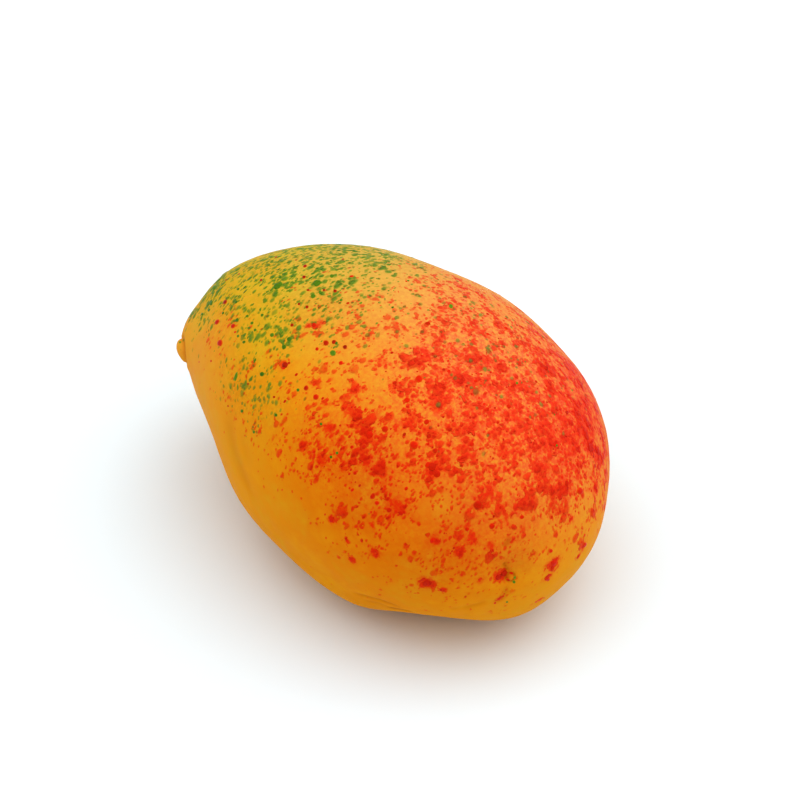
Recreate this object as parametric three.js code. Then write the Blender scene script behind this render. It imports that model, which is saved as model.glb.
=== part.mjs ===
// A marzipan sweet, hand-moulded and painted as a small mango, in millimetres.
//
// It is one solid that lies on its flat base, with +Z up. +X points to the stem end,
// -X to the beak end, and -Y is the belly, the side with the hollow under the beak.
// The origin is the middle of the base, below the centre of the bounding box.
import * as THREE from 'three';
import { mergeVertices } from 'three/addons/utils/BufferGeometryUtils.js';

// Driving dimensions of the rolled fruit, before it is pressed on the table
const LENGTH = 60;
const WIDTH = 41.4;
const HEIGHT = 39.8;

// How the plain egg becomes a mango
const STEM_END_WIDER = 0.14; // share of the width gained toward the stem end
const STEM_END_TALLER = 0.07; // share of the height gained toward the stem end
const ENDS_SLIMMER = 0.06; // share of the section lost at both ends
const BELLY_CURVE = 1.5; // mm that both ends bend toward the belly
const BOTTOM_CURVE = 0.1; // mm that both ends bend down
const LEAN = 0.7; // mm that the crown leans toward the belly
const MIDDLE = 1 / 3; // mean of x squared over a sphere, which keeps the bends centred

// The flat base
const BASE_DEPTH = 16.4; // mm from the middle of the form down to the table
const BASE_EDGE = 1.6; // mm over which the side rounds into the base
const BASE_CUT = 0.1; // mm of the rounding that the table presses quite flat

// Soft swells (+) and dents (-) left by the hand. Longitude runs from the stem end
// towards the back and latitude runs up, in degrees. Rise is in millimetres.
const PRESSES = [
  { name: 'beak shoulder', longitude: -150, latitude: 10, across: 10, along: 10, rise: 1.05 },
  { name: 'beak crown', longitude: -170, latitude: 25, across: 12, along: 12, rise: 0.2 },
  { name: 'hollow under the beak', longitude: -125, latitude: -10, across: 12, along: 13, rise: -0.8 },
  { name: 'belly', longitude: -100, latitude: -25, across: 14, along: 14, rise: 0.55 },
  { name: 'belly foot', longitude: -80, latitude: -30, across: 9, along: 8, rise: 0.5 },
  { name: 'spread lip', longitude: -65, latitude: -35, across: 11, along: 8, rise: 0.9 },
  { name: 'tuck beside the lip', longitude: -40, latitude: -40, across: 12, along: 9, rise: -0.95 },
  { name: 'stem foot', longitude: -10, latitude: -30, across: 12, along: 10, rise: 0.6 },
  { name: 'flat of the cheek', longitude: 35, latitude: -5, across: 13, along: 13, rise: -0.35 },
  { name: 'back shoulder', longitude: 70, latitude: 30, across: 16, along: 14, rise: -0.45 },
  { name: 'flat of the back', longitude: 100, latitude: 45, across: 18, along: 14, rise: -0.7 },
];

// The nub at the tip of the beak and the dimple where the stem was
const NUB = { longitude: -144, latitude: 6, radius: 1.95, rise: 0.9, roundness: 0.8 };
const DIMPLE = { longitude: -19, latitude: 2, radius: 3.6, rise: -0.8, roundness: 2 };

// The surface: a subdivided icosahedron whose points gather at the nub and the dimple
const SUBDIVISION = 20;
const GATHERED_SPREAD = 16; // degrees round each centre
const GATHERED_SHARE = 0.6; // how much closer the points are at the centre

const PAINTED_MARZIPAN = new THREE.MeshStandardMaterial({
  color: 0xee8a2c,
  roughness: 0.42,
  metalness: 0,
});

// Returns the unit vector at a longitude and latitude given in degrees.
function directionAt(longitude, latitude) {
  const aroundZ = THREE.MathUtils.degToRad(longitude);
  const upward = THREE.MathUtils.degToRad(latitude);
  return new THREE.Vector3(
    Math.cos(upward) * Math.cos(aroundZ),
    Math.cos(upward) * Math.sin(aroundZ),
    Math.sin(upward),
  );
}

// Returns the larger of two heights, rounded over where they are nearly equal.
function roundedMaximum(first, second, edge) {
  const near = Math.max(edge - Math.abs(first - second), 0) / edge;
  return Math.max(first, second) + (near * near * edge) / 4;
}

// Returns how strongly a press acts at a direction: 1 at its centre, fading as a bell.
function pressAt(press, direction) {
  const centre = directionAt(press.longitude, press.latitude);
  const angle = THREE.MathUtils.radToDeg(direction.angleTo(centre));
  const tangent = direction.clone().addScaledVector(centre, -direction.dot(centre));
  if (tangent.lengthSq() === 0) {
    return 1;
  }
  tangent.normalize();
  const east = directionAt(press.longitude + 90, 0);
  const north = centre.clone().cross(east);
  const across = (angle * tangent.dot(east)) / press.across;
  const along = (angle * tangent.dot(north)) / press.along;
  return Math.exp(-across * across - along * along);
}

// Returns the egg-shaped point of a direction, bent and leaned into a mango.
function mangoPoint({ x, y, z }) {
  const slimming = 1 - ENDS_SLIMMER * x * x;
  const bend = x * x - MIDDLE;
  return new THREE.Vector3(
    (LENGTH / 2) * x,
    (WIDTH / 2) * y * slimming * (1 + STEM_END_WIDER * x) - BELLY_CURVE * bend - LEAN * z,
    (HEIGHT / 2) * z * slimming * (1 + STEM_END_TALLER * x) - BOTTOM_CURVE * bend - LEAN * y,
  );
}

// Returns the outward direction of the plain egg, along which the hand's presses move it.
function outwardAt({ x, y, z }) {
  return new THREE.Vector3(x / LENGTH, y / WIDTH, z / HEIGHT).normalize();
}

// Returns the surface point of a direction, pressed by hand but without nub and dimple.
function pressedPoint(direction) {
  const rise = PRESSES.reduce((sum, press) => sum + press.rise * pressAt(press, direction), 0);
  return mangoPoint(direction).addScaledVector(outwardAt(direction), rise);
}

// Returns how far a nub or dimple moves a point, from its full rise to none at its radius.
function buttonRise(button, point) {
  const centre = pressedPoint(directionAt(button.longitude, button.latitude));
  const reach = point.distanceTo(centre) / button.radius;
  return button.rise * Math.max(1 - reach * reach, 0) ** button.roundness;
}

// Returns the direction moved toward a centre, so that more points lie round it.
function gather(direction, centre) {
  const angle = direction.angleTo(centre);
  const axis = centre.clone().cross(direction);
  if (axis.lengthSq() === 0) {
    return direction;
  }
  const reach = THREE.MathUtils.radToDeg(angle) / GATHERED_SPREAD;
  const turned = -angle * GATHERED_SHARE * Math.exp(-reach * reach);
  return direction.clone().applyAxisAngle(axis.normalize(), turned);
}

// Returns the closed surface of the whole sweet, standing on z = 0.
function sweetGeometry() {
  const sphere = new THREE.IcosahedronGeometry(1, SUBDIVISION);
  sphere.deleteAttribute('normal');
  sphere.deleteAttribute('uv');
  const surface = mergeVertices(sphere);
  const positions = surface.getAttribute('position');
  const direction = new THREE.Vector3();
  for (let index = 0; index < positions.count; index += 1) {
    direction.fromBufferAttribute(positions, index).normalize();
    const gathered = [NUB, DIMPLE].reduce(
      (moved, button) => gather(moved, directionAt(button.longitude, button.latitude)),
      direction,
    );
    const point = pressedPoint(gathered);
    const rise = buttonRise(NUB, point) + buttonRise(DIMPLE, point);
    point.addScaledVector(outwardAt(gathered), rise);
    const settled = roundedMaximum(point.z, -BASE_DEPTH - BASE_CUT, BASE_EDGE);
    point.z = Math.max(settled, -BASE_DEPTH);
    positions.setXYZ(index, point.x, point.y, point.z);
  }
  surface.computeBoundingBox();
  const { min, max } = surface.boundingBox;
  surface.translate(-(min.x + max.x) / 2, -(min.y + max.y) / 2, -min.z);
  surface.computeVertexNormals();
  return surface;
}

const sweet = new THREE.Mesh(sweetGeometry(), PAINTED_MARZIPAN);
sweet.name = 'marzipan_mango';

const model = new THREE.Group();
model.add(sweet);

export default model;
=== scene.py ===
"""Looks of a marzipan sweet, moulded by hand as a small mango and spattered with food colour.

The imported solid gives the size, the place and the large forms. This script refines its
surface, presses the small creases into it, paints it and sets raised drops of colour on it.
Lengths are in millimetres until a mesh or a light is made, and Blender's are in metres.
"""
import logging
import math
from collections.abc import Iterator
from dataclasses import dataclass
from enum import Enum

import bmesh
import bpy
import numpy as np
from mathutils import Matrix, Vector, noise
from mathutils.bvhtree import BVHTree


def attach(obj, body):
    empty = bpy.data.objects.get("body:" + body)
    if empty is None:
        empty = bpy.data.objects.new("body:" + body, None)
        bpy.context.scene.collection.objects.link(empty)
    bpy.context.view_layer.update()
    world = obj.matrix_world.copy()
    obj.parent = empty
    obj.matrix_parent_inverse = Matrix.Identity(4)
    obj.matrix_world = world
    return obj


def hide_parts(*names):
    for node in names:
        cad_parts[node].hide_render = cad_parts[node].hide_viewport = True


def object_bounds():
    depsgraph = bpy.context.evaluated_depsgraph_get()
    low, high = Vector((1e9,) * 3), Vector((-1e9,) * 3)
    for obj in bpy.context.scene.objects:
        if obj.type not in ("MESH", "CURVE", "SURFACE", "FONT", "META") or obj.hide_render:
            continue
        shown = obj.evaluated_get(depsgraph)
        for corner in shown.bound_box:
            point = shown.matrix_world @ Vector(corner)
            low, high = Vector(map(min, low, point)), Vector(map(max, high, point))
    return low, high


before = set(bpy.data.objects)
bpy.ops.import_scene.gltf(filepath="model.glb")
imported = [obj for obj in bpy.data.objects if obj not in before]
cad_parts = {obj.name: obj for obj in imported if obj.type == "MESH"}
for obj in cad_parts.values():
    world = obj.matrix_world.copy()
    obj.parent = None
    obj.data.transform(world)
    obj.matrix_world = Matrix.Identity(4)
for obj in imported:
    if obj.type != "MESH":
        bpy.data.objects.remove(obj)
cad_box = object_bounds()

MM = 0.001
BODY_NODE = "marzipan_mango"

Pixel = tuple[float, float]
Colour = tuple[float, float, float]
Direction = tuple[float, float, float]
Span = tuple[float, float]
Node = bpy.types.Node
Socket = bpy.types.NodeSocket

log = logging.getLogger("mango_sweet")


def opaque(colour: Colour) -> tuple[float, float, float, float]:
    """Returns a colour with full opacity, as shader sockets take it."""
    return (*colour, 1.0)


def smooth_step(values: np.ndarray, low: float, high: float) -> np.ndarray:
    """Returns a share for each value, rising smoothly from 0 at low to 1 at high."""
    share = np.clip((values - low) / (high - low), 0.0, 1.0)
    return share * share * (3.0 - 2.0 * share)


def bell(reach: np.ndarray) -> np.ndarray:
    """Returns 1 where the reach is nothing, falling softly to 0 on both sides."""
    return np.exp(-(reach**2))


@dataclass(frozen=True)
class PhotoCamera:
    """The photograph's view, worked out from the outline of the sweet."""

    azimuth: float = 47.44
    elevation: float = 42.0
    distance: float = 450.0
    pixels_per_mm: float = 8.472
    target: Direction = (0.0, -0.47, 16.4)
    target_pixel: Pixel = (392.2, 423.15)
    image_side: float = 800.0
    sensor: float = 36.0

    def axes(self) -> tuple[Vector, Vector, Vector]:
        """Works out how the view stands.

        Returns:
            Its right, up and backward directions.
        """
        turn, tilt = math.radians(self.azimuth), math.radians(self.elevation)
        back = Vector((math.sin(turn) * math.cos(tilt), -math.cos(turn) * math.cos(tilt), math.sin(tilt)))
        right = Vector((math.cos(turn), math.sin(turn), 0.0))
        return right, back.cross(right), back

    def eye(self) -> Vector:
        """Works out where the camera is.

        Returns:
            Its place in millimetres.
        """
        right, up, back = self.axes()
        half = self.image_side / 2.0
        sideways = (half - self.target_pixel[0]) / self.pixels_per_mm
        upward = (self.target_pixel[1] - half) / self.pixels_per_mm
        return Vector(self.target) + back * self.distance + right * sideways + up * upward

    def ray(self, pixel: Pixel) -> Vector:
        """Works out where the camera looks at a pixel.

        Args:
            pixel: A place in the photograph.

        Returns:
            The direction from the camera through it.
        """
        right, up, back = self.axes()
        half = self.image_side / 2.0
        across = (pixel[0] - half) / (self.pixels_per_mm * self.distance)
        down = (pixel[1] - half) / (self.pixels_per_mm * self.distance)
        return (right * across - up * down - back).normalized()

    def place(self) -> None:
        """Makes the camera and gives it to the scene."""
        data = bpy.data.cameras.new("photo_camera")
        data.sensor_width = self.sensor
        data.lens = self.sensor * self.pixels_per_mm * self.distance / self.image_side
        data.clip_start, data.clip_end = 0.01, 20.0
        camera = bpy.data.objects.new("photo_camera", data)
        bpy.context.collection.objects.link(camera)
        right, up, back = self.axes()
        camera.location = self.eye() * MM
        camera.rotation_euler = Matrix((right, up, back)).transposed().to_euler()
        bpy.context.scene.camera = camera


class NodeSheet:
    """A node tree with short calls for the nodes that the finishes use."""

    def __init__(self, tree: bpy.types.NodeTree) -> None:
        """Keeps the node tree that the calls add to."""
        self.tree = tree

    def add(self, kind: str, inputs: dict[str | int, object] | None = None, **settings: object) -> Node:
        """Adds one node.

        Args:
            kind: The node's type in Blender.
            inputs: Values or output sockets for its inputs, by name or number.
            **settings: The node's own properties.

        Returns:
            The new node.
        """
        node = self.tree.nodes.new(kind)
        for name, value in settings.items():
            setattr(node, name, value)
        for key, value in (inputs or {}).items():
            self.feed(node.inputs[key], value)
        return node

    def feed(self, socket: Socket, value: object) -> None:
        """Gives an input what it takes.

        Args:
            socket: The input.
            value: An output socket, which is linked, or the input's own value.
        """
        if isinstance(value, Socket):
            self.tree.links.new(value, socket)
        else:
            socket.default_value = value

    def math(self, operation: str, *values: object, clamp: bool = False) -> Socket:
        """Returns the result of a number operation on values or sockets."""
        inputs = dict(enumerate(values))
        return self.add("ShaderNodeMath", inputs, operation=operation, use_clamp=clamp).outputs[0]

    def vector(self, operation: str, *values: object, scale: object = None) -> Socket:
        """Adds a vector operation.

        Args:
            operation: Its name in Blender.
            *values: The vectors or sockets that it takes.
            scale: The number or socket that a SCALE takes.

        Returns:
            The socket of the result.
        """
        inputs = dict(enumerate(values))
        if scale is not None:
            inputs["Scale"] = scale
        node = self.add("ShaderNodeVectorMath", inputs, operation=operation)
        return node.outputs["Value" if operation == "DOT_PRODUCT" else "Vector"]

    def span(self, value: object, low: object, high: object, start: object = 0.0, end: object = 1.0,
             smooth: bool = False) -> Socket:
        """Maps a number from one span to another.

        Args:
            value: The number or socket to map.
            low: The start of its span.
            high: The end of its span.
            start: The result at low and below.
            end: The result at high and above.
            smooth: Whether the result eases in and out.

        Returns:
            The socket of the mapped number.
        """
        inputs = {"Value": value, "From Min": low, "From Max": high, "To Min": start, "To Max": end}
        kind = "SMOOTHSTEP" if smooth else "LINEAR"
        node = self.add("ShaderNodeMapRange", inputs, interpolation_type=kind, clamp=True)
        return node.outputs["Result"]

    def blend(self, share: object, first: object, second: object, mode: str = "MIX") -> Socket:
        """Mixes two colours.

        Args:
            share: How far the second colour goes over the first.
            first: A colour or a colour socket.
            second: A colour or a colour socket.
            mode: MIX, or MULTIPLY to tint the first with the second.

        Returns:
            The socket of the mixed colour.
        """
        node = self.add("ShaderNodeMix", data_type="RGBA", blend_type=mode)
        for name, value in (("Factor_Float", share), ("A_Color", first), ("B_Color", second)):
            socket = next(each for each in node.inputs if each.identifier == name)
            self.feed(socket, opaque(value) if isinstance(value, tuple) else value)
        return next(each for each in node.outputs if each.identifier == "Result_Color")

    def noise(self, place: Socket, size: float, detail: float = 2.0, rough: float = 0.5) -> Socket:
        """Returns soft noise round 0.5 whose waves are about size long."""
        inputs = {"Vector": place, "Scale": 1.0 / size, "Detail": detail, "Roughness": rough}
        return self.add("ShaderNodeTexNoise", inputs).outputs["Fac"]

    def waver(self, place: Socket, size: float, low: float, high: float, detail: float = 2.0,
              reach: float = 0.2) -> Socket:
        """Returns a number that wavers between two others, in waves cut off beyond a reach."""
        return self.span(self.noise(place, size, detail), 0.5 - reach, 0.5 + reach, low, high)

    def attribute(self, name: str) -> Socket:
        """Returns the number that the piece's vertices carry under a name."""
        return self.add("ShaderNodeAttribute", attribute_name=name).outputs["Fac"]


class SurfaceSheet(NodeSheet):
    """The node sheet of a new material with one plain surface."""

    def __init__(self, name: str, sheen: float) -> None:
        """Makes the material.

        Args:
            name: The material's name.
            sheen: The strength of the surface's reflections.
        """
        self.material = bpy.data.materials.new(name)
        self.material.use_nodes = True
        super().__init__(self.material.node_tree)
        self.surface = self.tree.nodes["Principled BSDF"]
        self.surface.inputs["Specular IOR Level"].default_value = sheen
        metres = self.add("ShaderNodeTexCoord").outputs["Object"]
        self.place = self.vector("SCALE", metres, scale=1.0 / MM)

    def dress(self, colour: Socket, roughness: Socket, height: Socket) -> bpy.types.Material:
        """Gives the surface its looks.

        Args:
            colour: Its colour.
            roughness: Its roughness.
            height: Its fine relief in millimetres.

        Returns:
            The finished material.
        """
        relief = self.add("ShaderNodeBump", {"Strength": 1.0, "Distance": MM, "Height": height})
        looks = {"Base Color": colour, "Roughness": roughness, "Normal": relief.outputs["Normal"]}
        for name, value in looks.items():
            self.feed(self.surface.inputs[name], value)
        return self.material


def new_group(name: str, inputs: dict[str, object],
              outputs: tuple[str, ...]) -> tuple[NodeSheet, dict[str, Socket], Node]:
    """Makes an empty shader node group.

    Args:
        name: The group's name.
        inputs: Its inputs with their defaults, a number or a vector each.
        outputs: The names of its outputs, all of them numbers but one named Vector.

    Returns:
        The sheet of the group, its input sockets by name, and its output node.
    """
    tree = bpy.data.node_groups.new(name, "ShaderNodeTree")
    for title, value in inputs.items():
        kind = "NodeSocketFloat" if isinstance(value, float) else "NodeSocketVector"
        socket = tree.interface.new_socket(title, in_out="INPUT", socket_type=kind)
        socket.default_value = value
    for title in outputs:
        kind = "NodeSocketVector" if title == "Vector" else "NodeSocketFloat"
        tree.interface.new_socket(title, in_out="OUTPUT", socket_type=kind)
    sheet = NodeSheet(tree)
    source = sheet.add("NodeGroupInput")
    sockets = {title: source.outputs[title] for title in inputs}
    return sheet, sockets, sheet.add("NodeGroupOutput")


@dataclass
class PaintGroups:
    """The node groups that both colours of paint share."""

    waves_per_mm: float = 0.9
    comes_up_over: float = 0.12
    small_favoured: float = 1.5
    thinnest: float = 0.6
    thickest: float = 1.25

    def __post_init__(self) -> None:
        """Builds both groups once."""
        self.spray = self.build_spray()
        self.spatter = self.build_spatter()

    def build_spray(self) -> bpy.types.NodeTree:
        """Builds the group that turns a place into spray coordinates.

        The coordinates are squashed along the spray's path, so that a round drop smears where
        the spray grazes the surface, and they wander a little, so that no drop is a true circle.

        Returns:
            The node group.
        """
        sheet, given, result = new_group(
            "spray_coordinates",
            {"Vector": (0.0, 0.0, 0.0), "Path": (0.0, 0.0, -1.0), "Smear": 3.0, "Ragged": 0.2},
            ("Vector",),
        )
        place, path = given["Vector"], given["Path"]
        waves = {"Vector": place, "Scale": self.waves_per_mm, "Detail": 4.0, "Roughness": 0.6}
        coarse = sheet.add("ShaderNodeTexNoise", waves)
        centred = sheet.vector("SUBTRACT", coarse.outputs["Color"], (0.5, 0.5, 0.5))
        wander = sheet.vector("SCALE", centred, scale=sheet.math("MULTIPLY", given["Ragged"], 2.0))
        wandering = sheet.vector("ADD", place, wander)
        along = sheet.vector("DOT_PRODUCT", wandering, path)
        lost = sheet.math("SUBTRACT", 1.0, sheet.math("DIVIDE", 1.0, given["Smear"]))
        squash = sheet.vector("SCALE", path, scale=sheet.math("MULTIPLY", along, lost))
        sheet.feed(result.inputs["Vector"], sheet.vector("SUBTRACT", wandering, squash))
        return sheet.tree

    def build_spatter(self) -> bpy.types.NodeTree:
        """Builds the group that throws drops of one size range.

        Returns:
            The node group. Mask is a drop's thickness, about 1 in its middle, and Dome its height.
        """
        sheet, given, result = new_group(
            "paint_spatter",
            {"Vector": (0.0, 0.0, 0.0), "Cell": 1.0, "Amount": 0.5, "Smallest": 0.1, "Largest": 0.4,
             "Softness": 0.3, "Shift": (0.0, 0.0, 0.0)},
            ("Mask", "Dome"),
        )
        scaled = sheet.vector("SCALE", given["Vector"], scale=sheet.math("DIVIDE", 1.0, given["Cell"]))
        place = sheet.vector("ADD", scaled, given["Shift"])
        cells = sheet.add("ShaderNodeTexVoronoi", {"Vector": place, "Scale": 1.0, "Randomness": 1.0},
                          voronoi_dimensions="3D", feature="F1")
        chance = sheet.add("ShaderNodeSeparateColor", {"Color": cells.outputs["Color"]}).outputs
        spare = sheet.math("SUBTRACT", given["Amount"], chance[0])
        present = sheet.span(spare, 0.0, self.comes_up_over, smooth=True)
        spread = sheet.math("SUBTRACT", given["Largest"], given["Smallest"])
        growth = sheet.math("MULTIPLY", spread, sheet.math("POWER", chance[1], self.small_favoured))
        radius = sheet.math("MULTIPLY", sheet.math("ADD", given["Smallest"], growth), present)
        reach = sheet.math("DIVIDE", cells.outputs["Distance"], sheet.math("MAXIMUM", radius, 0.001))
        half = sheet.math("MULTIPLY", given["Softness"], 0.5)
        inner, outer = sheet.math("SUBTRACT", 1.0, half), sheet.math("ADD", 1.0, half)
        disc = sheet.span(reach, inner, outer, 1.0, 0.0, smooth=True)
        weight = sheet.span(chance[2], 0.0, 1.0, self.thinnest, self.thickest)
        sheet.feed(result.inputs["Mask"], sheet.math("MULTIPLY", disc, weight))
        height = sheet.math("SUBTRACT", 1.0, sheet.math("MULTIPLY", reach, reach), clamp=True)
        sheet.feed(result.inputs["Dome"], sheet.math("MULTIPLY", height, radius))
        return sheet.tree


@dataclass(frozen=True)
class DropLayer:
    """One size range of sprayed drops, in millimetres and shares of a cell."""

    cell: float
    smallest: float
    largest: float
    gain: float
    power: float
    softness: float
    shift: Direction
    swell: float = 0.0


@dataclass(frozen=True)
class Wash:
    """Ragged patches where fine drops have run together, over the denser part of a cloud."""

    patch: float
    detail: float
    starts_at: float
    bare: float
    full: float
    softness: float
    weight: float
    rough: float = 0.62


@dataclass(frozen=True)
class Coat:
    """What a paint leaves: the new colour, its mask and the height of its drops in millimetres."""

    colour: Socket
    mask: Socket
    height: Socket


@dataclass(frozen=True)
class Spray:
    """One food colour, thrown along one path in several sizes of drops.

    It is a glaze: where its thickness adds up from a film, patches and drops, it tints the ground
    more and more, from thin over full to deep. A little of its own colour veils what is under it:
    milky where it is sprayed lightly, full where it is heavy.
    """

    path: Direction
    smear: float
    ragged: float
    cover: str
    clump: float
    clumping: float
    thin: Colour
    full: Colour
    deep: Colour
    milky: Colour
    own: Colour
    veil: float
    faint: float
    heavy: str
    heavier: float
    film: float
    relief: float
    washes: tuple[Wash, ...]
    layers: tuple[DropLayer, ...]
    film_power: float = 3.0
    clumps_open_power: float = 1.5
    sparse_below: float = 0.35
    thin_span: Span = (0.0, 0.6)
    full_span: Span = (0.3, 1.5)
    deep_span: Span = (1.6, 3.0)

    def lay(self, sheet: SurfaceSheet, groups: PaintGroups, ground: Socket) -> Coat:
        """Lays this paint over a ground colour.

        Args:
            sheet: The material's node sheet.
            groups: The shared paint groups.
            ground: The colour under the paint.

        Returns:
            What the paint leaves.
        """
        flight = {"Vector": sheet.place, "Path": self.path, "Smear": self.smear, "Ragged": self.ragged}
        spray = sheet.add("ShaderNodeGroup", flight, node_tree=groups.spray)
        even = sheet.attribute(self.cover)
        cover = self.clumped(sheet, even)
        thickness = sheet.math("MULTIPLY", sheet.math("POWER", even, self.film_power), self.film)
        height = 0.0
        for wash in self.washes:
            patches = self.run_together(sheet, wash, spray.outputs["Vector"], cover)
            thickness = sheet.math("ADD", thickness, patches)
        for layer in self.layers:
            drops = self.throw(sheet, groups, layer, spray.outputs["Vector"], cover)
            thickness = sheet.math("ADD", thickness, drops["Mask"])
            rise = sheet.math("MULTIPLY", drops["Dome"], layer.cell * self.relief)
            height = sheet.math("ADD", height, rise)
        sparse = sheet.span(even, 0.0, self.sparse_below, self.faint, 1.0)
        thickness = sheet.math("MULTIPLY", thickness, sparse)
        heavy = sheet.attribute(self.heavy)
        thickness = sheet.math("MULTIPLY", thickness, sheet.span(heavy, 0.0, 1.0, 1.0, self.heavier))
        body = sheet.span(thickness, *self.full_span)
        colour = sheet.blend(sheet.span(thickness, *self.thin_span), ground, self.thin, "MULTIPLY")
        colour = sheet.blend(body, colour, self.full, "MULTIPLY")
        colour = sheet.blend(sheet.span(thickness, *self.deep_span), colour, self.deep, "MULTIPLY")
        own = sheet.blend(heavy, self.milky, self.own)
        return Coat(sheet.blend(sheet.math("MULTIPLY", body, self.veil), colour, own), body, height)

    def clumped(self, sheet: SurfaceSheet, even: Socket) -> Socket:
        """Draws the cover into clumps, which show most where it is about half open.

        Args:
            sheet: The material's node sheet.
            even: The share that the paint covers on average.

        Returns:
            The share that it covers with its clumps.
        """
        still_open = sheet.math("POWER", sheet.math("SUBTRACT", 1.0, even), self.clumps_open_power)
        clumps = sheet.waver(sheet.place, self.clump, -self.clumping, self.clumping, 3.0)
        change = sheet.math("MULTIPLY", clumps, sheet.math("MULTIPLY", even, still_open))
        return sheet.math("ADD", even, change, clamp=True)

    def throw(self, sheet: NodeSheet, groups: PaintGroups, layer: DropLayer, place: Socket,
              cover: Socket) -> bpy.types.bpy_prop_collection:
        """Throws one size range of drops.

        Args:
            sheet: The material's node sheet.
            groups: The shared paint groups.
            layer: The size range.
            place: The spray coordinates.
            cover: The share that the paint covers.

        Returns:
            The outputs of the spatter group.
        """
        amount = sheet.math("MULTIPLY", sheet.math("POWER", cover, layer.power), layer.gain)
        swollen = sheet.span(cover, 0.0, 1.0, layer.largest, layer.largest + layer.swell)
        inputs = {"Vector": place, "Cell": layer.cell, "Amount": amount, "Smallest": layer.smallest,
                  "Largest": swollen, "Softness": layer.softness, "Shift": layer.shift}
        return sheet.add("ShaderNodeGroup", inputs, node_tree=groups.spatter).outputs

    def run_together(self, sheet: NodeSheet, wash: Wash, place: Socket, cover: Socket) -> Socket:
        """Lets fine drops run together into patches.

        Args:
            sheet: The material's node sheet.
            wash: The patches' size and level.
            place: The spray coordinates.
            cover: The share that the paint covers.

        Returns:
            The thickness of the patches.
        """
        ragged = sheet.noise(place, wash.patch, wash.detail, wash.rough)
        level = sheet.span(cover, wash.starts_at, 1.0, wash.bare, wash.full)
        return sheet.span(sheet.math("SUBTRACT", ragged, level), 0.0, wash.softness, 0.0, wash.weight)


RED_SPRAY = Spray(
    path=(-0.3, -0.3, -0.9),
    smear=1.8,
    ragged=0.3,
    cover="red_cover",
    clump=2.3,
    clumping=2.8,
    thin=(1.0, 0.48, 0.55),
    full=(0.97, 0.36, 0.45),
    deep=(0.78, 0.2, 0.42),
    milky=(0.9, 0.06, 0.012),
    own=(0.82, 0.035, 0.004),
    veil=0.25,
    faint=0.65,
    heavy="heavy_red",
    heavier=2.0,
    film=0.9,
    relief=0.3,
    washes=(
        Wash(patch=2.4, detail=6.0, starts_at=0.1, bare=0.68, full=0.44, softness=0.32, weight=0.8),
        Wash(patch=0.75, detail=4.0, starts_at=0.0, bare=0.70, full=0.38, softness=0.26, weight=0.8),
        Wash(patch=0.32, detail=3.0, starts_at=0.0, bare=0.66, full=0.32, softness=0.4, weight=0.38),
    ),
    layers=(
        DropLayer(cell=0.9, smallest=0.08, largest=0.17, gain=1.5, power=0.3, softness=0.9,
                  shift=(4.5, 6.1, 2.7)),
        DropLayer(cell=2.6, smallest=0.12, largest=0.3, gain=0.7, power=1.3, softness=0.4,
                  shift=(3.1, 7.7, 1.3)),
        DropLayer(cell=1.4, smallest=0.14, largest=0.42, gain=1.05, power=0.9, softness=1.2,
                  shift=(9.4, 2.2, 5.8), swell=0.3),
        DropLayer(cell=0.75, smallest=0.16, largest=0.5, gain=1.2, power=0.7, softness=1.3,
                  shift=(1.9, 4.6, 8.1), swell=0.35),
        DropLayer(cell=0.38, smallest=0.2, largest=0.5, gain=1.0, power=0.5, softness=1.6,
                  shift=(6.2, 0.7, 3.9), swell=0.35),
    ),
)

GREEN_SPRAY = Spray(
    path=(0.15, -0.72, -0.68),
    smear=1.25,
    ragged=0.16,
    cover="green_cover",
    clump=2.4,
    clumping=2.2,
    thin=(0.8, 0.96, 0.8),
    full=(0.35, 0.75, 0.52),
    deep=(0.4, 0.6, 0.6),
    milky=(0.33, 0.3, 0.07),
    own=(0.075, 0.2, 0.01),
    veil=0.6,
    faint=0.8,
    heavy="heavy_green",
    heavier=1.35,
    film=0.1,
    relief=0.36,
    washes=(
        Wash(patch=0.5, detail=3.0, starts_at=0.0, bare=0.72, full=0.5, softness=0.26, weight=0.4),
    ),
    layers=(
        DropLayer(cell=1.1, smallest=0.15, largest=0.27, gain=1.4, power=0.55, softness=1.4,
                  shift=(8.2, 5.3, 3.6)),
        DropLayer(cell=1.15, smallest=0.12, largest=0.34, gain=1.25, power=1.0, softness=1.2,
                  shift=(2.3, 8.5, 4.4), swell=0.15),
        DropLayer(cell=0.68, smallest=0.16, largest=0.46, gain=1.2, power=1.0, softness=1.4,
                  shift=(5.1, 1.8, 9.2), swell=0.2),
        DropLayer(cell=0.4, smallest=0.2, largest=0.5, gain=0.7, power=0.85, softness=1.6,
                  shift=(7.6, 3.3, 0.8), swell=0.35),
    ),
)


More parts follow.
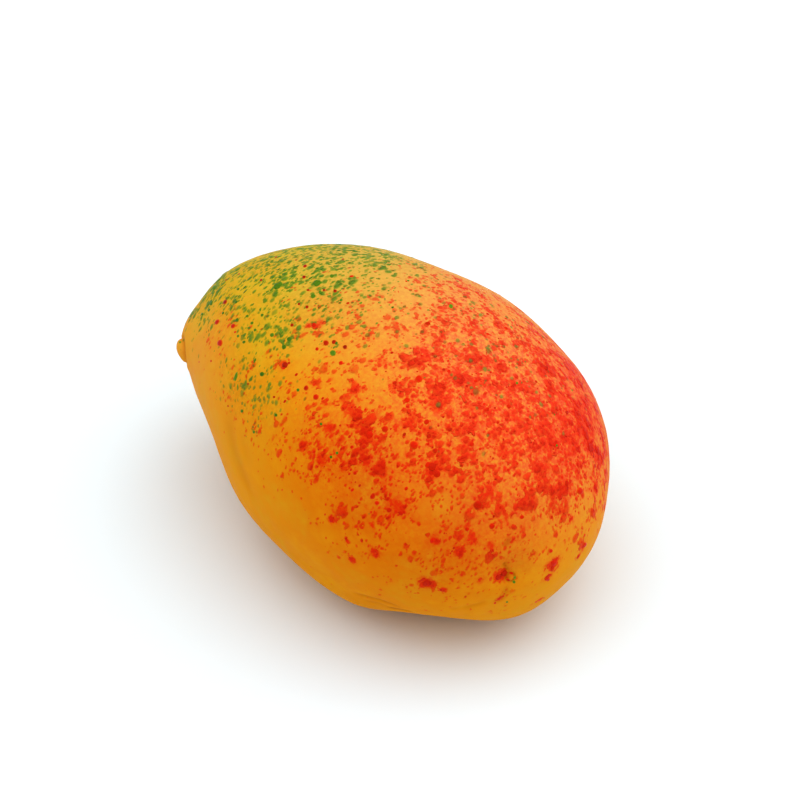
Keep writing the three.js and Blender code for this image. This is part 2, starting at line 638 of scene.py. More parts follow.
@dataclass(frozen=True)
class PaintedSkin:
    """The satin skin of the sweet: coloured paste under red and green spatter."""

    name: str = "painted_marzipan_skin"
    golden: Colour = (0.79, 0.29, 0.003)
    yellow: Colour = (0.74, 0.47, 0.01)
    # Painted sheen: a paler, bluer paste colour that stands in for the soft reflection of the light.
    painted_sheen_colour: Colour = (0.82, 0.31, 0.055)
    cream: Colour = (0.75, 0.44, 0.09)
    # Deeper orange of the paste, partly painted shade on the lower front side.
    amber: Colour = (0.72, 0.125, 0.0)
    # Painted shade: the dark colour laid into creases, pits and the moat round the nub, where shade
    # falls.
    crease: Colour = (0.45, 0.08, 0.0)
    broad_waves: float = 6.0
    broad_mottling: float = 0.24
    fine_waves: float = 1.3
    fine_mottling: float = 0.16
    red_mist: Colour = (1.0, 0.4, 0.85)
    green_mist: Colour = (0.86, 0.98, 0.85)
    mist: float = 1.3
    mist_waves: float = 0.45
    mist_speckle: Span = (0.1, 2.0)
    gloss_waves: float = 1.8
    roughness: Span = (0.43, 0.53)
    paint_smoother: float = 0.1
    sheen: float = 0.006
    grain: float = 0.5
    grain_height: float = 0.03

    def make(self, groups: PaintGroups) -> bpy.types.Material:
        """Makes the material.

        Args:
            groups: The shared paint groups.

        Returns:
            The finished material.
        """
        sheet = SurfaceSheet(self.name, self.sheen)
        red = RED_SPRAY.lay(sheet, groups, self.paste(sheet))
        green = GREEN_SPRAY.lay(sheet, groups, red.colour)
        paint = sheet.math("MAXIMUM", red.mask, green.mask)
        dried = sheet.math("MULTIPLY", paint, self.paint_smoother)
        gloss = sheet.waver(sheet.place, self.gloss_waves, *self.roughness)
        roughness = sheet.math("SUBTRACT", gloss, dried)
        skin = sheet.math("MULTIPLY", sheet.noise(sheet.place, self.grain, 3.0), self.grain_height)
        height = sheet.math("ADD", skin, sheet.math("ADD", red.height, green.height))
        return sheet.dress(green.colour, roughness, height)

    def paste(self, sheet: SurfaceSheet) -> Socket:
        """Colours the bare paste, with the finest mist of both paints, painted sheen and painted shade.

        Args:
            sheet: The material's node sheet.

        Returns:
            The socket of the colour.
        """
        broad = sheet.waver(sheet.place, self.broad_waves, -self.broad_mottling, self.broad_mottling,
                            3.0, 0.15)
        fine = sheet.waver(sheet.place, self.fine_waves, -self.fine_mottling, self.fine_mottling, 4.0)
        mottled = sheet.math("ADD", broad, fine)
        # The paste's orange deepens on the belly, front and foot, partly as painted shade of the lower
        # side.
        warm = sheet.math("ADD", sheet.attribute("amber_paste_and_shade"), mottled, clamp=True)
        light = sheet.math("ADD", sheet.attribute("yellow_paste"), mottled, clamp=True)
        colour = sheet.blend(warm, self.golden, self.amber)
        colour = sheet.blend(light, colour, self.yellow)
        # Painted sheen on the crown, the far cheek and under the beak.
        colour = sheet.blend(sheet.attribute("painted_sheen"), colour, self.painted_sheen_colour)
        colour = sheet.blend(sheet.attribute("cream_paste"), colour, self.cream)
        mist = sheet.noise(sheet.place, self.mist_waves, 5.0, 0.6)
        speckle = sheet.span(mist, 0.35, 0.65, *self.mist_speckle)
        for cover, tint in (("red_cover", self.red_mist), ("green_cover", self.green_mist)):
            spread = sheet.math("MULTIPLY", sheet.attribute(cover), self.mist)
            haze = sheet.math("MULTIPLY", spread, speckle, clamp=True)
            colour = sheet.blend(haze, colour, tint, "MULTIPLY")
        # Painted shade darkens the creases, pits and moats.
        return sheet.blend(sheet.attribute("painted_crease_shade"), colour, self.crease)


@dataclass(frozen=True)
class DropFinish:
    """The gloss paint of the raised drops, each in its own shade and thinner toward its rim."""

    name: str
    rim: Colour
    bright: Colour
    dark: Colour
    rim_starts: float = 0.3
    rim_share: float = 0.9
    tone_waves: float = 0.3
    uneven_tone: float = 0.15
    gloss_waves: float = 0.4
    roughness: Span = (0.31, 0.43)
    sheen: float = 0.02
    ripple_waves: float = 0.15
    ripple: float = 0.004

    def make(self) -> bpy.types.Material:
        """Makes the material.

        Returns:
            The finished material.
        """
        sheet = SurfaceSheet(self.name, self.sheen)
        cloudy = sheet.waver(sheet.place, self.tone_waves, -self.uneven_tone, self.uneven_tone)
        tone = sheet.math("ADD", sheet.attribute("tone"), cloudy, clamp=True)
        thin = sheet.span(sheet.attribute("thin"), self.rim_starts, 1.0, 0.0, self.rim_share)
        colour = sheet.blend(thin, sheet.blend(tone, self.bright, self.dark), self.rim)
        roughness = sheet.waver(sheet.place, self.gloss_waves, *self.roughness)
        ripples = sheet.math("MULTIPLY", sheet.noise(sheet.place, self.ripple_waves), self.ripple)
        return sheet.dress(colour, roughness, ripples)


@dataclass(frozen=True)
class Cloud:
    """A soft cloud of paint or of paste colour, by its place round the sweet in degrees."""

    name: str
    longitude: float
    latitude: float
    spread: float
    strength: float


def cloud_cover(clouds: tuple[Cloud, ...], directions: np.ndarray) -> np.ndarray:
    """Works out how far a set of clouds covers the surface.

    Args:
        clouds: The clouds, which add up.
        directions: Unit directions from the middle of the sweet.

    Returns:
        The covered share at each direction, from 0 to 1.
    """
    total = np.zeros(len(directions))
    for cloud in clouds:
        turn, rise = math.radians(cloud.longitude), math.radians(cloud.latitude)
        centre = (math.cos(rise) * math.cos(turn), math.cos(rise) * math.sin(turn), math.sin(rise))
        angle = np.degrees(np.arccos(np.clip(directions @ np.array(centre), -1.0, 1.0)))
        total += cloud.strength * bell(angle / cloud.spread)
    return 1.0 - np.exp(-np.maximum(total, 0.0))


RED_CLOUDS = (
    Cloud("cheek by the stem end", 10, 30, 14, 0.6),
    Cloud("crown", -12, 57, 22, 0.69),
    Cloud("back of the crown", 72, 67, 15, 0.3),
    Cloud("fine haze between the colours", -105, 68, 15, 0.15),
    Cloud("belly side", -66, 35, 18, 0.34),
    Cloud("front haze", -28, 22, 28, 0.34),
    Cloud("far cheek", 37, 28, 28, 0.84),
    Cloud("gap over the front", -42, 25, 7, -0.32),
    Cloud("thinner cheek", 14, 18, 10, -0.25),
    Cloud("strays over the beak", -131, 32, 9, 0.15),
    Cloud("fine trail beside the groove", -104, 28, 13, 0.11),
)

GREEN_CLOUDS = (
    Cloud("beak tip", -162, 25, 15, 1.25),
    Cloud("top of the beak", -167, 60, 20, 1.4),
    Cloud("ridge behind the crown", 134, 70, 10, 0.6),
    Cloud("fringe over the belly", -120, 50, 9, 0.7),
    Cloud("back of the beak", 150, 41, 18, 1.8),
    Cloud("flecks over the crown", 24, 58, 26, 0.17),
    Cloud("trail down the side", -107, 31, 12, 0.48),
    Cloud("fringe over the middle", -128, 72, 12, 0.3),
    Cloud("strays", -60, 50, 40, 0.006),
)

SHADE_CLOUDS = {
    "yellow_paste": (Cloud("beak", 175, 50, 45, 1.2),),
    # Painted sheen: paler colour where the light reflects softly, on the crown, far cheek and beak rim.
    "painted_sheen": (
        Cloud("crown and far cheek", 50, 50, 43, 1.9),
        Cloud("under the beak", -137, 8, 24, 0.45),
    ),
    "cream_paste": (Cloud("ridge", 128, 68, 30, 1.0),),
    # Partly painted shade: deeper orange on the belly, front and foot, the side turned from the light.
    "amber_paste_and_shade": (
        Cloud("belly", -58, 20, 22, 1.5),
        Cloud("front", -30, 15, 20, 1.1),
        Cloud("belly foot", -62, -12, 28, 0.5),
    ),
    "heavy_red": (
        Cloud("belly flank", -62, 24, 26, 1.4),
        Cloud("rim of the stem end", 30, 6, 24, 1.8),
    ),
    "heavy_green": (Cloud("beak", -165, 48, 62, 2.6),),
}


@dataclass(frozen=True)
class Blot:
    """A ragged patch of thick paint at a photograph pixel, by its radius in millimetres."""

    pixel: Pixel
    radius: float
    strength: float = 1.0


def marks_at(kind: type, rows: tuple[tuple[float, ...], ...]) -> tuple:
    """Makes the marks of one kind that sit at photograph pixels.

    Args:
        kind: The class of the marks.
        rows: For each mark its pixel, across and down, and then its other fields in order.

    Returns:
        The marks.
    """
    return tuple(kind((across, down), *fields) for across, down, *fields in rows)


RED_BLOTS = marks_at(Blot, (
    (427, 583, 0.75, 2.6), (443, 589, 0.28, 2.6), (501, 576, 0.65, 2.6), (553, 564, 0.75, 2.2),
    (548, 578, 0.5), (480, 580, 0.45), (473, 540, 0.6), (490, 545, 0.5), (499, 599, 0.4),
    (539, 600, 0.4), (355, 389, 0.7), (350, 408, 0.7), (329, 428, 0.6), (368, 434, 0.65, 0.8),
    (305, 445, 0.55), (322, 460, 0.8), (366, 460, 0.8, 0.6), (284, 365, 0.5), (317, 324, 0.55, 1.6),
    (308, 325, 0.3, 1.2), (421, 351, 0.8), (459, 379, 0.9), (434, 470, 0.8), (565, 490, 1.2),
    (595, 487, 0.8), (375, 553, 0.55, 2.2), (352, 560, 0.38, 1.8), (331, 520, 0.5, 1.2),
    (435, 540, 0.6, 1.0), (459, 551, 0.6, 1.2), (490, 490, 0.7), (347, 541, 0.3, 1.3),
    (372, 525, 0.28, 1.3), (520, 503, 0.9, 0.8), (396, 508, 1.0, 0.9), (478, 500, 0.9, 0.5),
    (396, 388, 0.9, 0.5), (398, 425, 0.8, 0.5), (470, 425, 1.3, 0.6), (316, 385, 0.5, 0.6),
    (584, 546, 0.5, 1.6), (571, 520, 0.4, 1.2), (579, 556, 0.3, 1.2),
))

GREEN_BLOTS = marks_at(Blot, (
    (278, 285, 0.6), (317, 284, 0.6), (237, 300, 0.5), (210, 305, 0.6), (288, 342, 0.6),
    (248, 330, 0.5), (335, 345, 0.35),
))


PAINT_COVERS = {
    "red_cover": (RED_CLOUDS, RED_BLOTS),
    "green_cover": (GREEN_CLOUDS, GREEN_BLOTS),
}


@dataclass(frozen=True)
class Stroke:
    """A crease or ridge pressed along a line of photograph pixels, sized in millimetres."""

    name: str
    pixels: tuple[Pixel, ...]
    width: float
    rise: float
    # Painted shade: how far the colour darkens in the mark's hollow, from 0 to 1.
    painted_shade: float = 0.0


@dataclass(frozen=True)
class Ring:
    """A moat or a rim round a point of the sweet, sized in millimetres."""

    name: str
    centre: Direction
    radius: float
    width: float
    rise: float
    # Painted shade: how far the colour darkens in the mark's hollow, from 0 to 1.
    painted_shade: float = 0.0


@dataclass(frozen=True)
class Spot:
    """A pit or a bead at a photograph pixel, sized in millimetres."""

    name: str
    pixel: Pixel
    radius: float
    rise: float
    # Painted shade: how far the colour darkens in the mark's hollow, from 0 to 1.
    painted_shade: float = 0.0


STROKES = (
    Stroke("groove under the beak", ((226, 400), (229, 420), (233, 450), (244, 478), (260, 506)),
           1.3, -0.16, 0.22),
    Stroke("fold beside the groove", ((240, 424), (243, 446), (252, 470)), 1.0, -0.08, 0.1),
    Stroke("fold over the base lip", ((350, 592), (366, 596), (380, 600), (394, 605), (406, 610)),
           0.3, -0.14, 0.5),
    Stroke("second fold over the lip", ((362, 600), (378, 603), (392, 608)), 0.3, -0.06, 0.3),
    Stroke("shaded tuck at the lip", ((384, 607), (400, 610), (416, 613)), 0.4, -0.12, 0.75),
    Stroke("fold by the stem foot", ((459, 609), (478, 604), (490, 599)), 0.4, -0.12, 0.25),
    Stroke("second fold by the stem foot", ((447, 610), (474, 603)), 0.35, -0.08, 0.15),
    Stroke("stem crease", ((504.9, 560.5), (504.5, 564.7), (507.3, 570.3), (508.7, 574.5)),
           0.28, -0.2, 0.6),
    Stroke("notch over the stem", ((510.8, 538), (505.2, 545.7), (503.1, 549.3)), 0.35, -0.15, 0.5),
    Stroke("crease under the stem", ((508, 583), (504.5, 594), (494, 604)), 0.4, -0.12, 0.4),
    Stroke("left ray of the stem", ((498, 575), (484, 571), (470, 566)), 0.8, 0.08),
    Stroke("right ray of the stem", ((520, 570), (533, 560), (545, 553)), 0.9, 0.1),
    Stroke("upper ray of the stem", ((499, 560), (490, 545), (484, 530)), 0.9, 0.08),
)

NUB_CENTRE = (-24.57, -11.77, 18.75)
STEM_CENTRE = (27.93, -7.94, 16.22)

RINGS = (
    Ring("moat round the nub", NUB_CENTRE, 1.75, 0.26, -0.3, 0.5),
    Ring("shoulder over the nub", (-25.8, -11.0, 20.3), 0.0, 0.8, -0.3),
    Ring("ring of the stem", STEM_CENTRE, 0.5, 0.17, -0.14, 0.8),
)

SPOTS = (
    Spot("stem pit", (507, 575), 0.9, -0.22, 0.35),
    Spot("stem bead", (510.6, 577.5), 0.4, 0.3, 0.2),
    Spot("upper stem pit", (505.5, 564), 0.4, -0.12, 0.35),
    Spot("front dent", (431, 583), 0.8, -0.12, 0.1),
    Spot("small front dent", (443, 582), 0.5, -0.1, 0.1),
)


@dataclass
class MangoBody:
    """The sweet itself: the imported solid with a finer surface, small creases and its paint.

    Each of its waves of unevenness is given by its length and its height.
    """

    camera: PhotoCamera
    waves: tuple[tuple[float, float], ...] = ((11.0, 0.14), (4.2, 0.05), (1.3, 0.022))
    steady_base: Span = (0.3, 2.0)
    flat_below: float = 0.02
    smoothing_rounds: int = 6
    stroke_taper: float = 0.3
    piece: bpy.types.Object | None = None

    def build(self, groups: PaintGroups) -> bpy.types.Object:
        """Builds and dresses the piece and attaches it to the root body.

        Args:
            groups: The shared paint groups.

        Returns:
            The finished piece.
        """
        mesh = self.refine()
        self.sculpt(mesh)
        mesh.materials.clear()
        mesh.materials.append(PaintedSkin().make(groups))
        mesh.polygons.foreach_set("use_smooth", np.ones(len(mesh.polygons), dtype=bool))
        self.piece = bpy.data.objects.new("marzipan_body", mesh)
        bpy.context.collection.objects.link(self.piece)
        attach(self.piece, "root")
        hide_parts(BODY_NODE)
        return self.piece

    def refine(self) -> bpy.types.Mesh:
        """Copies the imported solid's mesh, merges it and divides it twice.

        Returns:
            The finer mesh.
        """
        form = bmesh.new()
        form.from_mesh(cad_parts[BODY_NODE].data)
        bmesh.ops.remove_doubles(form, verts=form.verts[:], dist=1e-6)
        for _ in range(2):
            bmesh.ops.subdivide_edges(form, edges=form.edges[:], cuts=1, use_grid_fill=True)
            raised = [vert for vert in form.verts if vert.co.z > self.flat_below * MM]
            for _ in range(self.smoothing_rounds):
                bmesh.ops.smooth_vert(form, verts=raised, factor=0.5, use_axis_x=True, use_axis_y=True,
                                      use_axis_z=True)
        bmesh.ops.triangulate(form, faces=form.faces[:])
        mesh = bpy.data.meshes.new("marzipan_body")
        form.to_mesh(mesh)
        form.free()
        return mesh

    def sculpt(self, mesh: bpy.types.Mesh) -> None:
        """Moves the vertices for the hand's marks and stores the fields that the paint follows.

        Args:
            mesh: The refined mesh, in place.
        """
        places, normals = self.vertex_data(mesh)
        surface = self.search_tree(mesh)
        # Besides its rise, each mark gives painted shade that darkens its hollow.
        rise, painted_shade = self.undulation(places), np.zeros(len(places))
        for mark, strength in self.small_marks(surface, places):
            rise += mark.rise * strength
            painted_shade = np.maximum(painted_shade, mark.painted_shade * strength)
        rise *= smooth_step(places[:, 2], *self.steady_base)
        moved = places + normals * rise[:, None]
        mesh.vertices.foreach_set("co", (moved * MM).ravel())
        directions = self.directions(places)
        for name, (clouds, blots) in PAINT_COVERS.items():
            bare = 1.0 - cloud_cover(clouds, directions)
            for blot in blots:
                bare *= np.exp(-blot.strength * bell(self.reach(surface, places, blot)))
            self.store(mesh, name, 1.0 - bare)
        for name, clouds in SHADE_CLOUDS.items():
            self.store(mesh, name, cloud_cover(clouds, directions))
        # The painted shade of the marks' hollows.
        self.store(mesh, "painted_crease_shade", painted_shade)
        mesh.update()

    def small_marks(self, surface: BVHTree,
                    places: np.ndarray) -> Iterator[tuple[Stroke | Ring | Spot, np.ndarray]]:
        """Goes through the creases, rings, pits and beads.

        Args:
            surface: The search tree of the sweet.
            places: The vertices' places.

        Yields:
            Each mark, and how strongly it acts at each place, from 0 to 1.
        """
        for stroke in STROKES:
            line = np.array([self.on_surface(surface, pixel)[0] for pixel in stroke.pixels])
            distance, share = self.along_line(places, line)
            rising, falling = (smooth_step(part, 0.0, self.stroke_taper) for part in (share, 1.0 - share))
            yield stroke, rising * falling * bell(distance / stroke.width)
        for ring in RINGS:
            outside = np.linalg.norm(places - np.array(ring.centre), axis=1) - ring.radius
            yield ring, bell(outside / ring.width)
        for spot in SPOTS:
            yield spot, bell(self.reach(surface, places, spot))

    def reach(self, surface: BVHTree, places: np.ndarray, mark: Blot | Spot) -> np.ndarray:
        """Measures how far places are from a mark.

        Args:
            surface: The search tree of the sweet.
            places: The places to measure.
            mark: A round mark at a photograph pixel.

        Returns:
            Each place's distance from the mark's centre, in radii of the mark.
        """
        centre = np.array(self.on_surface(surface, mark.pixel)[0])
        return np.linalg.norm(places - centre, axis=1) / mark.radius

    def vertex_data(self, mesh: bpy.types.Mesh) -> tuple[np.ndarray, np.ndarray]:
        """Reads the vertices of a mesh.

        Args:
            mesh: The mesh.

        Returns:
            Their places in millimetres and their unit normals.
        """
        count = len(mesh.vertices)
        places, normals = np.empty(count * 3), np.empty(count * 3)
        mesh.vertices.foreach_get("co", places)
        mesh.vertices.foreach_get("normal", normals)
        return places.reshape(-1, 3) / MM, normals.reshape(-1, 3)

    def search_tree(self, mesh: bpy.types.Mesh) -> BVHTree:
        """Makes a mesh ready to be hit by rays.

        Args:
            mesh: The mesh.

        Returns:
            Its search tree in millimetres.
        """
        places = self.vertex_data(mesh)[0]
        faces = [tuple(face.vertices) for face in mesh.polygons]
        return BVHTree.FromPolygons([Vector(place) for place in places], faces)

    def on_surface(self, surface: BVHTree, pixel: Pixel) -> tuple[Vector, Vector]:
        """Finds what the photograph shows at a pixel.

        Args:
            surface: The search tree of the sweet.
            pixel: A place in the photograph.

        Returns:
            The point on the sweet in millimetres and the surface's normal there.
        """
        point, normal, _, _ = surface.ray_cast(self.camera.eye(), self.camera.ray(pixel))
        if point is None:
            raise ValueError(f"no surface at pixel {pixel}")
        return point, normal

    def undulation(self, places: np.ndarray) -> np.ndarray:
        """Works out the soft unevenness that rolling by hand leaves.

        Args:
            places: The vertices' places.

        Returns:
            Each vertex's rise in millimetres.
        """
        rise = np.zeros(len(places))
        for length, height in self.waves:
            rise += height * np.array([noise.noise(Vector(place) / length) for place in places])
        return rise

    def along_line(self, places: np.ndarray, line: np.ndarray) -> tuple[np.ndarray, np.ndarray]:
        """Measures places against a line of straight stretches.

        Args:
            places: The places to measure.
            line: The corners of the line.

        Returns:
            Each place's distance to the line, and how far along the line it lies, from 0 to 1.
        """
        nearest, position = np.full(len(places), np.inf), np.zeros(len(places))
        lengths = np.linalg.norm(np.diff(line, axis=0), axis=1)
        starts = np.concatenate(([0.0], np.cumsum(lengths)))
        for number, (start, end) in enumerate(zip(line[:-1], line[1:])):
            stretch = end - start
            share = np.clip((places - start) @ stretch / (stretch @ stretch), 0.0, 1.0)
            distance = np.linalg.norm(places - start - share[:, None] * stretch, axis=1)
            closer = distance < nearest
            nearest[closer] = distance[closer]
            position[closer] = (starts[number] + share * lengths[number])[closer]
        return nearest, position / starts[-1]

    def directions(self, places: np.ndarray) -> np.ndarray:
        """Works out where places lie round the sweet, as if it were shrunk to a sphere.

        Args:
            places: The places.

        Returns:
            Their unit directions from the middle.
        """
        low, high = (np.array(corner) / MM for corner in cad_box)
        scaled = (places - (low + high) / 2.0) / ((high - low) / 2.0)
        return scaled / np.linalg.norm(scaled, axis=1)[:, None]

    def store(self, mesh: bpy.types.Mesh, name: str, values: np.ndarray) -> None:
        """Stores one number for each vertex under a name."""
        layer = mesh.attributes.new(name, "FLOAT", "POINT")
        layer.data.foreach_set("value", values.astype(np.float32))


class PaintColour(Enum):
    """The colours of the raised drops."""

    RED = "red"
    GREEN = "green"


@dataclass(frozen=True)
class Landmark:
    """One drop that stands out in the photograph, by its pixel, radius in millimetres and dark tone."""

    pixel: Pixel
    radius: float
    tone: float


RED_LANDMARKS = marks_at(Landmark, (
    (220, 343, 0.44, 0.45), (217, 322, 0.38, 0.5), (233, 326, 0.36, 0.45), (235, 332, 0.18, 0.14),
    (314, 325, 0.29, 0.29), (225, 302, 0.34, 1.0), (305, 266, 0.28, 0.85), (304, 277, 0.26, 1.0),
    (335, 291, 0.26, 0.9), (276, 257, 0.2, 0.9), (307, 307, 0.24, 0.9), (292, 325, 0.24, 0.85),
    (326, 343, 0.36, 0.6), (334, 342, 0.3, 0.75), (345, 347, 0.28, 0.95), (306, 388, 0.34, 0.55),
    (316, 397, 0.38, 0.29), (285, 365, 0.4, 0.8), (341, 363, 0.29, 0.14), (355, 473, 0.25, 0.24),
    (352, 447, 0.25, 0.19), (369, 435, 0.47, 0.19), (385, 429, 0.4, 0.24), (414, 445, 0.54, 0.14),
    (407, 400, 0.36, 0.1), (419, 379, 0.45, 0.1), (404, 512, 0.22, 0.24), (401, 513, 0.31, 0.24),
    (389, 510, 0.31, 0.24), (377, 503, 0.31, 0.19), (492, 526, 0.38, 0.24), (467, 529, 0.31, 0.24),
    (522, 517, 0.29, 0.24), (580, 491, 0.45, 0.19), (478, 505, 0.56, 0.43), (427, 583, 0.4, 0.38),
    (441, 590, 0.22, 0.38), (432, 467, 0.5, 0.43), (437, 474, 0.43, 0.38), (499, 577, 0.4, 0.43),
    (505, 574, 0.44, 0.46), (511, 573, 0.29, 0.29), (508, 580, 0.27, 0.38), (554, 563, 0.38, 0.19),
    (551, 551, 0.27, 0.14), (547, 579, 0.31, 0.19), (540, 600, 0.22, 0.14), (536, 602, 0.2, 0.14),
    (544, 598, 0.18, 0.14), (499, 599, 0.22, 0.19), (495, 603, 0.2, 0.19), (503, 596, 0.18, 0.19),
    (585, 545, 0.31, 0.19), (261, 280, 0.22, 0.8), (308, 290, 0.2, 0.9), (299, 304, 0.2, 0.8),
    (324, 290, 0.19, 0.9), (239, 274, 0.17, 0.6), (296, 260, 0.16, 0.8), (343, 259, 0.17, 0.8),
    (317, 349, 0.24, 0.35), (289, 363, 0.2, 0.5), (274, 397, 0.18, 0.7), (228, 406, 0.16, 0.5),
    (248, 384, 0.16, 0.8), (211, 361, 0.18, 0.2), (199, 362, 0.15, 0.2), (226, 280, 0.17, 0.8),
))

GREEN_LANDMARKS = marks_at(Landmark, (
    (180, 342, 0.16, 0.1), (262, 374, 0.31, 0.9), (333, 353, 0.39, 0.4), (336, 343, 0.23, 0.7),
    (277, 286, 0.48, 0.6), (280, 284, 0.32, 0.4), (317, 283, 0.5, 0.5), (313, 296, 0.3, 0.4),
    (237, 320, 0.29, 0.7), (289, 339, 0.3, 0.7), (284, 347, 0.3, 0.7), (272, 335, 0.28, 0.4),
    (238, 289, 0.23, 0.6), (247, 316, 0.23, 0.5), (211, 303, 0.32, 0.6), (209, 310, 0.23, 0.6),
    (202, 314, 0.23, 0.5), (214, 287, 0.28, 0.4), (223, 313, 0.21, 0.7), (244, 342, 0.23, 0.7),
    (238, 336, 0.21, 0.5), (236, 302, 0.23, 0.7), (332, 276, 0.28, 0.4), (255, 330, 0.21, 0.5),
    (252, 323, 0.23, 0.5), (249, 328, 0.18, 0.5), (262, 315, 0.21, 0.5), (242, 411, 0.23, 0.5),
    (254, 432, 0.21, 0.4), (320, 292, 0.23, 0.4), (280, 277, 0.23, 0.5), (451, 306, 0.28, 0.2),
    (451, 307, 0.23, 0.3), (341, 300, 0.21, 0.3), (273, 277, 0.21, 0.4), (515, 577, 0.25, 0.2),
    (514, 582, 0.21, 0.4), (507, 602, 0.18, 0.6), (276, 415, 0.22, 0.8), (298, 390, 0.22, 0.7),
    (321, 424, 0.2, 0.6), (331, 457, 0.2, 0.95), (337, 453, 0.2, 0.6),
))


@dataclass(frozen=True)
class Drop:
    """One raised drop, sized in millimetres. It is drawn out along its path, and its rim may be thin."""

    point: Vector
    normal: Vector
    radius: float
    tone: float
    path: Vector
    smear: float
    thin_rim: float


@dataclass(frozen=True)
class RaisedDrops:
    """A scatter of raised paint drops of one colour on the body, sized in millimetres.

    The outline of a drop is uneven in soft lobes, which differ from drop to drop. Its tone runs
    from 0, bright, to 1, dark.
    """

    colour: PaintColour
    finish: DropFinish
    cover: str
    path: Direction
    smear: float
    landmarks: tuple[Landmark, ...]
    count: int
    seed: int
    usual_radius: float = 0.12
    radius_spread: float = 0.4
    largest_radius: float = 0.35
    landmark_smear: float = 2.2
    darkest_tone: float = 0.55
    height_share: float = 0.26
    crowding: float = 1.5
    uneven: float = 0.22
    lobes: float = 1.3
    lobe_shift: float = 7.0
    sunk: float = 0.02
    sunk_share: float = 0.03
    rim_under_paint: float = 0.8

    def build(self, body: MangoBody) -> bpy.types.Object:
        """Builds and dresses the piece and attaches it to the root body.

        Args:
            body: The finished body that carries the drops.

        Returns:
            The finished piece.
        """
        template = self.template()
        outward = [vert.co.xy.length_squared for vert in template.vertices]
        corners = len(outward)
        drops = bmesh.new()
        tones: list[float] = []
        thinness: list[float] = []
        for drop in self.places(body):
            drops.from_mesh(template)
            drops.verts.ensure_lookup_table()
            verts = drops.verts[-corners:]
            for vert in verts:
                lobe = noise.noise(vert.co * self.lobes + drop.point * self.lobe_shift)
                vert.co.xy *= 1.0 + self.uneven * lobe
            bmesh.ops.transform(drops, matrix=self.seat(drop), verts=verts)
            tones.extend([drop.tone] * corners)
            thinness.extend(drop.thin_rim * share for share in outward)
        mesh = bpy.data.meshes.new(f"{self.colour.value}_paint_drops")
        drops.to_mesh(mesh)
        drops.free()
        bpy.data.meshes.remove(template)
        for name, values in (("tone", tones), ("thin", thinness)):
            body.store(mesh, name, np.array(values))
        mesh.materials.append(self.finish.make())
        mesh.polygons.foreach_set("use_smooth", np.ones(len(mesh.polygons), dtype=bool))
        piece = bpy.data.objects.new(mesh.name, mesh)
        bpy.context.collection.objects.link(piece)
        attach(piece, "root")
        return piece

    def template(self) -> bpy.types.Mesh:
        """Makes a closed dome of unit radius and unit height, flat below.

        Returns:
            The dome's mesh.
        """
        dome = bmesh.new()
        bmesh.ops.create_icosphere(dome, subdivisions=2, radius=1.0)
        bmesh.ops.bisect_plane(dome, geom=dome.verts[:] + dome.edges[:] + dome.faces[:], dist=1e-4,
                               plane_co=(0.0, 0.0, 0.0), plane_no=(0.0, 0.0, 1.0), clear_inner=True)
        rim = [edge for edge in dome.edges if edge.is_boundary]
        bmesh.ops.holes_fill(dome, edges=rim, sides=0)
        bmesh.ops.triangulate(dome, faces=dome.faces[:])
        bmesh.ops.recalc_face_normals(dome, faces=dome.faces[:])
        mesh = bpy.data.meshes.new("drop_template")
        dome.to_mesh(mesh)
        dome.free()
        return mesh

    def places(self, body: MangoBody) -> list[Drop]:
        """Works out where the drops sit.

        Args:
            body: The finished body.

        Returns:
            First the drops that the photograph singles out, then the random ones.
        """
        mesh = body.piece.data
        surface = body.search_tree(mesh)
        vertices = body.vertex_data(mesh)[0]
        cover = np.empty(len(mesh.vertices), dtype=np.float32)
        mesh.attributes[self.cover].data.foreach_get("value", cover)
        found = []
        for mark in self.landmarks:
            point, normal = body.on_surface(surface, mark.pixel)
            path = body.camera.ray(mark.pixel)
            rim = self.rim_at(point, vertices, cover)
            found.append(Drop(point, normal, mark.radius, mark.tone, path, self.landmark_smear, rim))
        draw = np.random.default_rng(self.seed)
        corners = np.array([face.vertices[:] for face in mesh.polygons])
        areas = np.array([face.area for face in mesh.polygons])
        weights = areas * cover[corners].mean(axis=1) ** self.crowding
        chosen = draw.choice(len(corners), size=self.count, p=weights / weights.sum())
        radii = self.usual_radius * np.exp(self.radius_spread * draw.standard_normal(self.count))
        tones = self.darkest_tone * draw.random(self.count)
        path = Vector(self.path).normalized()
        for index, radius, tone in zip(chosen, np.minimum(radii, self.largest_radius), tones):
            face = mesh.polygons[index]
            point = face.center / MM
            rim = self.rim_at(point, vertices, cover)
            normal = face.normal.copy()
            found.append(Drop(point, normal, float(radius), float(tone), path, self.smear, rim))
        return found

    def rim_at(self, point: Vector, vertices: np.ndarray, cover: np.ndarray) -> float:
        """Works out how far a drop's rim thins out, which is little on dense paint.

        Args:
            point: The drop's centre.
            vertices: The body's vertices.
            cover: The share that the paint covers at each vertex.

        Returns:
            The share, 1 on bare paste.
        """
        nearest = np.argmin(((vertices - np.array(point)) ** 2).sum(axis=1))
        return 1.0 - self.rim_under_paint * float(cover[nearest])

    def seat(self, drop: Drop) -> Matrix:
        """Works out how the unit dome lies on the surface.

        Args:
            drop: The drop that the dome becomes.

        Returns:
            The dome's matrix in metres.
        """
        facing = abs(drop.path.dot(drop.normal))
        along = drop.path - drop.normal * drop.path.dot(drop.normal)
        along = along.normalized() if along.length > 1e-6 else drop.normal.orthogonal().normalized()
        across = drop.normal.cross(along)
        stretch = 1.0 / math.sqrt((1.0 - facing**2) / drop.smear**2 + facing**2)
        sizes = (drop.radius * stretch, drop.radius, drop.radius * self.height_share)
        columns = [axis * size for axis, size in zip((along, across, drop.normal), sizes)]
        turned = Matrix(columns).transposed().to_4x4()
        place = Matrix.Translation(drop.point - drop.normal * (self.sunk + self.sunk_share * drop.radius))
        return Matrix.Scale(MM, 4) @ place @ turned


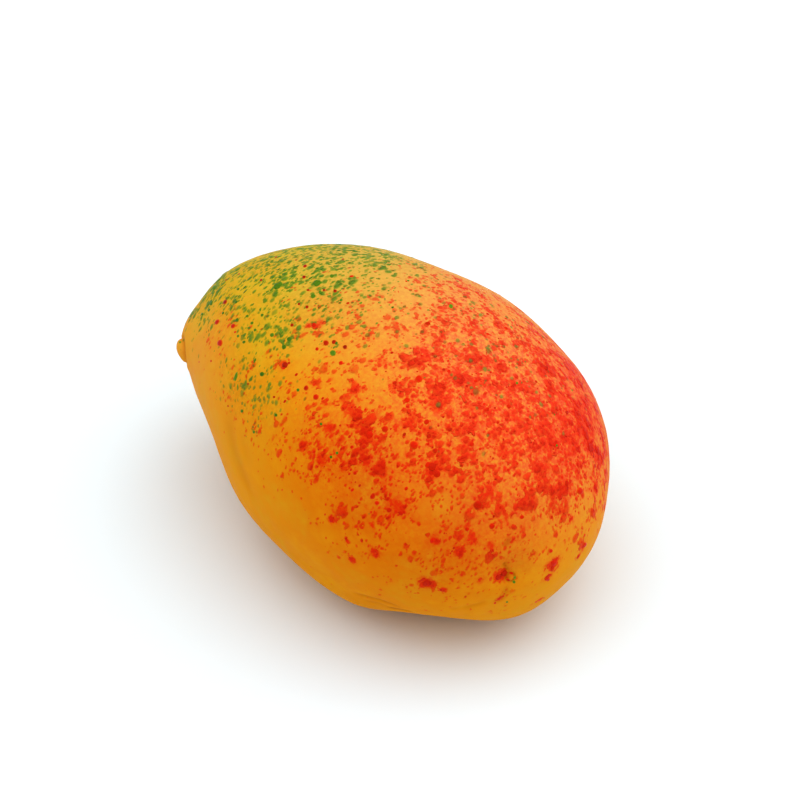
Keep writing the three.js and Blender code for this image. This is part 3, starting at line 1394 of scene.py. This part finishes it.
RED_DROPS = RaisedDrops(
    colour=PaintColour.RED,
    finish=DropFinish(
        name="red_drop_paint",
        rim=(0.86, 0.15, 0.006),
        bright=(0.78, 0.014, 0.001),
        dark=(0.28, 0.012, 0.002),
    ),
    cover="red_cover",
    path=RED_SPRAY.path,
    smear=1.6,
    landmarks=RED_LANDMARKS,
    count=500,
    seed=11,
)

GREEN_DROPS = RaisedDrops(
    colour=PaintColour.GREEN,
    finish=DropFinish(
        name="green_drop_paint",
        rim=(0.36, 0.33, 0.01),
        bright=(0.12, 0.25, 0.01),
        dark=(0.03, 0.11, 0.004),
    ),
    cover="green_cover",
    path=GREEN_SPRAY.path,
    smear=1.8,
    landmarks=GREEN_LANDMARKS,
    count=420,
    seed=23,
    usual_radius=0.11,
    darkest_tone=0.9,
)


@dataclass(frozen=True)
class SoftLight:
    """A broad soft patch of light in the sky."""

    name: str
    toward: Direction
    strength: float


@dataclass(frozen=True)
class Studio:
    """Plain soft light from above and from both sides over a white floor.

    The floor's side is in metres, and its gap under the sweet is in millimetres.
    """

    lights: tuple[SoftLight, ...] = (
        SoftLight("overhead", (0.0, 0.0, 1.0), 1.67),
        SoftLight("right side", (0.51, 0.64, 0.57), 1.13),
        SoftLight("left side", (-0.55, -0.60, 0.57), 0.41),
        SoftLight("left front", (0.03, -0.82, 0.57), 0.33),
    )
    light_edge: float = 0.45
    backdrop: float = 1.2
    floor_side: float = 4.0
    floor_gap: float = 0.01
    floor_tint: Colour = (0.84, 0.93, 0.97)

    def build(self) -> None:
        """Makes the floor and the light, and shows colours as they are."""
        bpy.context.scene.view_settings.view_transform = "Standard"
        self.build_floor()
        self.build_light()

    def build_floor(self) -> None:
        """Makes the white floor that the sweet lies on."""
        form = bmesh.new()
        bmesh.ops.create_grid(form, x_segments=1, y_segments=1, size=self.floor_side / 2.0)
        bmesh.ops.translate(form, verts=form.verts[:], vec=(0.0, 0.0, -self.floor_gap * MM))
        mesh = bpy.data.meshes.new("floor")
        form.to_mesh(mesh)
        form.free()
        material = bpy.data.materials.new("white_floor")
        material.use_nodes = True
        surface = material.node_tree.nodes["Principled BSDF"]
        surface.inputs["Base Color"].default_value = opaque(self.floor_tint)
        surface.inputs["Roughness"].default_value = 1.0
        surface.inputs["Specular IOR Level"].default_value = 0.0
        mesh.materials.append(material)
        floor = bpy.data.objects.new("floor", mesh)
        bpy.context.collection.objects.link(floor)

    def build_light(self) -> None:
        """Makes the sky of soft lights, in front of which the camera sees a plain white backdrop."""
        world = bpy.data.worlds.new("studio")
        world.use_nodes = True
        bpy.context.scene.world = world
        sheet = NodeSheet(world.node_tree)
        toward = sheet.add("ShaderNodeTexCoord").outputs["Generated"]
        strength = 0.0
        for light in self.lights:
            turned = sheet.vector("DOT_PRODUCT", toward, tuple(Vector(light.toward).normalized()))
            glow = sheet.span(turned, self.light_edge, 1.0, 0.0, light.strength, smooth=True)
            strength = sheet.math("ADD", strength, glow)
        seen = sheet.add("ShaderNodeLightPath").outputs["Is Camera Ray"]
        background = world.node_tree.nodes["Background"]
        plain = sheet.math("MULTIPLY", seen, self.backdrop)
        sheet.feed(background.inputs["Strength"], sheet.math("MAXIMUM", strength, plain))
        background.inputs["Color"].default_value = opaque((1.0, 1.0, 1.0))


def main() -> None:
    """Builds the camera, the studio and every piece in order."""
    logging.basicConfig(level=logging.INFO, format="%(name)s: %(message)s")
    camera = PhotoCamera()
    camera.place()
    Studio().build()
    groups = PaintGroups()
    body = MangoBody(camera)
    piece = body.build(groups)
    log.info("%s: %d triangles", piece.name, len(piece.data.polygons))
    for drops in (RED_DROPS, GREEN_DROPS):
        piece = drops.build(body)
        log.info("%s: %d triangles", piece.name, len(piece.data.polygons))


if __name__ == "__main__":
    main()
